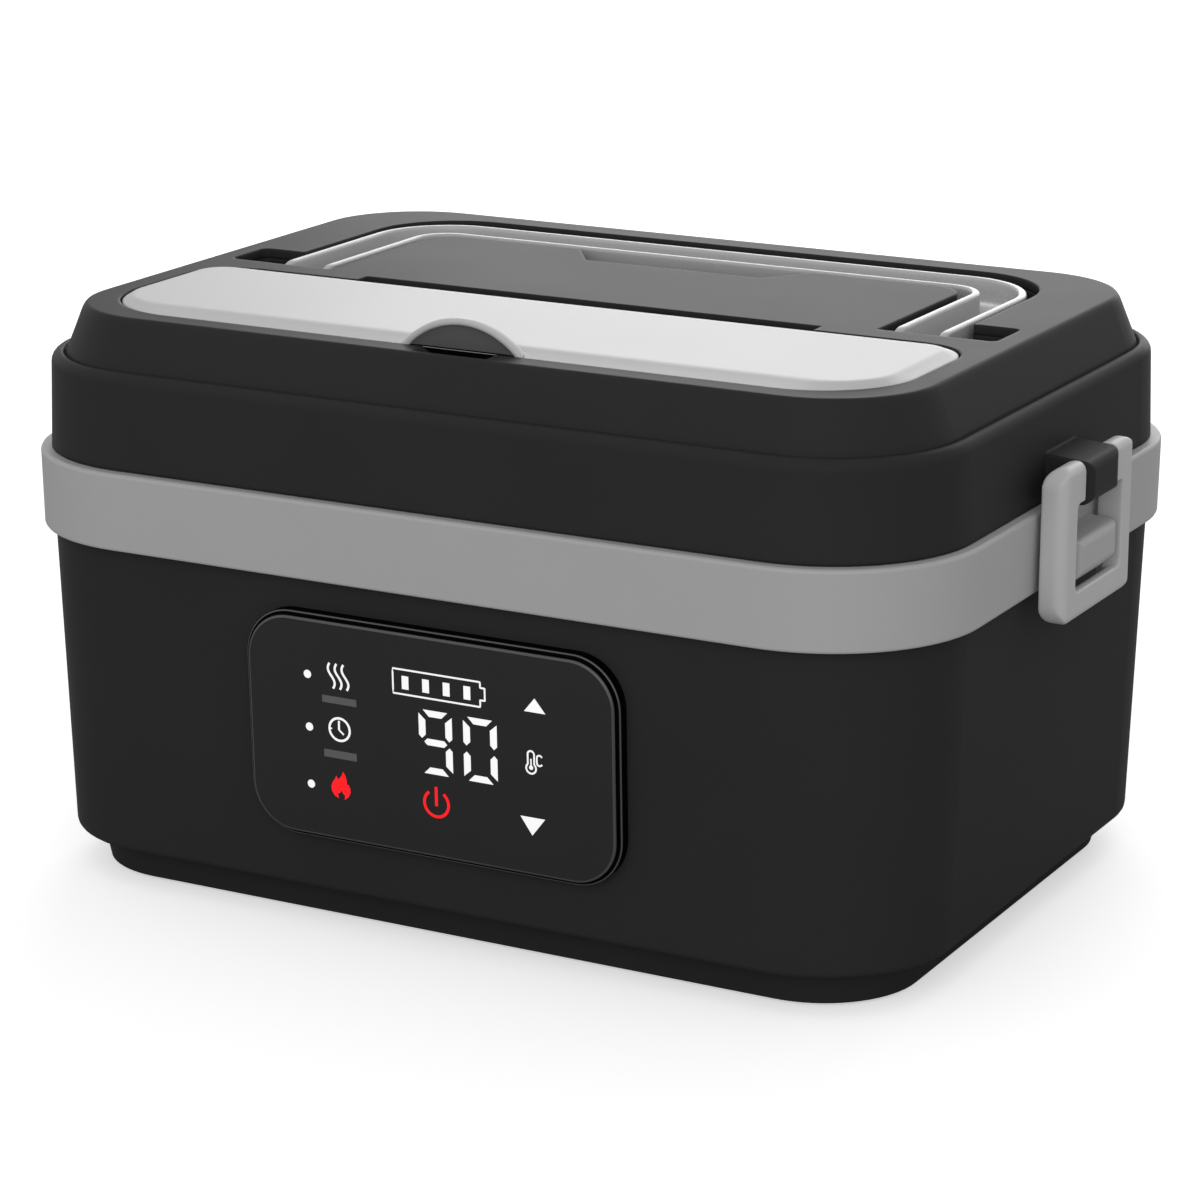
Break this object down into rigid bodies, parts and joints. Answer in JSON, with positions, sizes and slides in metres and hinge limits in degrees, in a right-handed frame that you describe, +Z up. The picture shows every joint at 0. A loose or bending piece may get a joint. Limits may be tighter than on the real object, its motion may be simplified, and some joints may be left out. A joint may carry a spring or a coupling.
{
  "type": "electric lunch box",
  "caption": "Black battery-heated lunch box with a grey rim band, side clips, a fold-down handle, a touch panel and a hinged cutlery cover on its lift-off lid.",
  "frame": {"origin": "centre of the standing face, on the floor between the four feet", "axes": "+Z up, +X towards the right-hand clip seen from the control panel, control panel facing -Y"},
  "size_m": [0.2566, 0.1768, 0.1451],
  "materials": {
    "shell_black": "fine matt black moulding",
    "lid_black": "fine matt black moulding",
    "band_grey": "satin mid grey moulding",
    "clip_grey": "satin mid grey moulding",
    "handle_grey": "satin light grey moulding",
    "cover_grey": "satin pale grey moulding",
    "pad_grey": "satin dark grey moulding",
    "bezel_black": "gloss black moulding",
    "panel_black": "gloss black window with printed signs",
    "rubber": "matt black rubber",
    "seal": "pale silicone rubber",
    "inner_plastic": "pale grey moulding",
    "stainless": "brushed stainless steel",
    "pin_steel": "drawn steel",
    "aluminium": "pressed sheet",
    "insulation": "glass fibre mat",
    "heater": "extruded block",
    "ceramic": "pale sleeve",
    "cell_wrap": "cell in a blue sleeve",
    "holder": "black moulding",
    "nickel": "nickel strip",
    "lead": "red silicone sleeve",
    "board": "green laminate",
    "chips": "moulded parts",
    "ribbon": "flat flexible strip"
  },
  "bodies": {
    "base": {"outer_shell": "shell_black", "rim_band": "band_grey", "base_cover": "shell_black", "rubber_feet": "rubber", "base_screws": "pin_steel", "heating_liner": "aluminium", "insulation": "insulation", "heat_spreader": "aluminium", "ptc_heater": "heater", "temp_sensor": "ceramic", "thermal_fuse": "ceramic", "battery_cells": "cell_wrap", "battery_holder": "holder", "battery_tabs": "nickel", "power_leads": "lead", "control_board": "board", "control_parts": "chips", "display_board": "board", "ribbon_cable": "ribbon", "panel_bezel": "bezel_black", "touch_panel": "panel_black", "charge_socket": "pin_steel"},
    "container": {"food_container": "stainless"},
    "lid": {"lid_shell": "lid_black", "lid_skirt": "lid_black", "cutlery_tray": "lid_black", "handle_well": "lid_black", "lid_liner": "inner_plastic", "lid_seal": "seal", "lid_screws": "pin_steel", "handle_pins": "pin_steel", "clip_pins": "pin_steel", "cover_pin": "pin_steel"},
    "handle": {"handle": "handle_grey"},
    "clip_right": {"clip_right": "clip_grey"},
    "clip_left": {"clip_left": "clip_grey"},
    "cover": {"cutlery_cover": "cover_grey", "cover_hinge": "holder", "thumb_pad": "pad_grey"}
  },
  "joints": [
    {"name": "lid_lift", "type": "slide", "parent": "base", "child": "lid", "axis": [0, 0, 1], "range_m": [0, 0.07]},
    {"name": "container_lift", "type": "slide", "parent": "base", "child": "container", "axis": [0, 0, 1], "range_m": [0, 0.063]},
    {"name": "clip_right_turn", "type": "hinge", "parent": "lid", "child": "clip_right", "pos_m": [0.1241, 0, 0.11], "axis": [0, -1, 0], "range_deg": [0, 170]},
    {"name": "clip_left_turn", "type": "hinge", "parent": "lid", "child": "clip_left", "pos_m": [-0.1241, 0, 0.11], "axis": [0, 1, 0], "range_deg": [0, 170]},
    {"name": "handle_fold", "type": "hinge", "parent": "lid", "child": "handle", "pos_m": [0, 0.0009, 0.1326], "axis": [1, 0, 0], "range_deg": [0, 90]},
    {"name": "cover_open", "type": "hinge", "parent": "lid", "child": "cover", "pos_m": [0, -0.0112, 0.1355], "axis": [-1, 0, 0], "range_deg": [0, 80]}
  ],
  "couplings": [
    {"joint": "container_lift", "follows": "lid_lift", "ratio": 0.88},
    {"joint": "clip_right_turn", "follows": "lid_lift", "rad_per_m": 42.38},
    {"joint": "clip_left_turn", "follows": "lid_lift", "rad_per_m": 42.38}
  ]
}
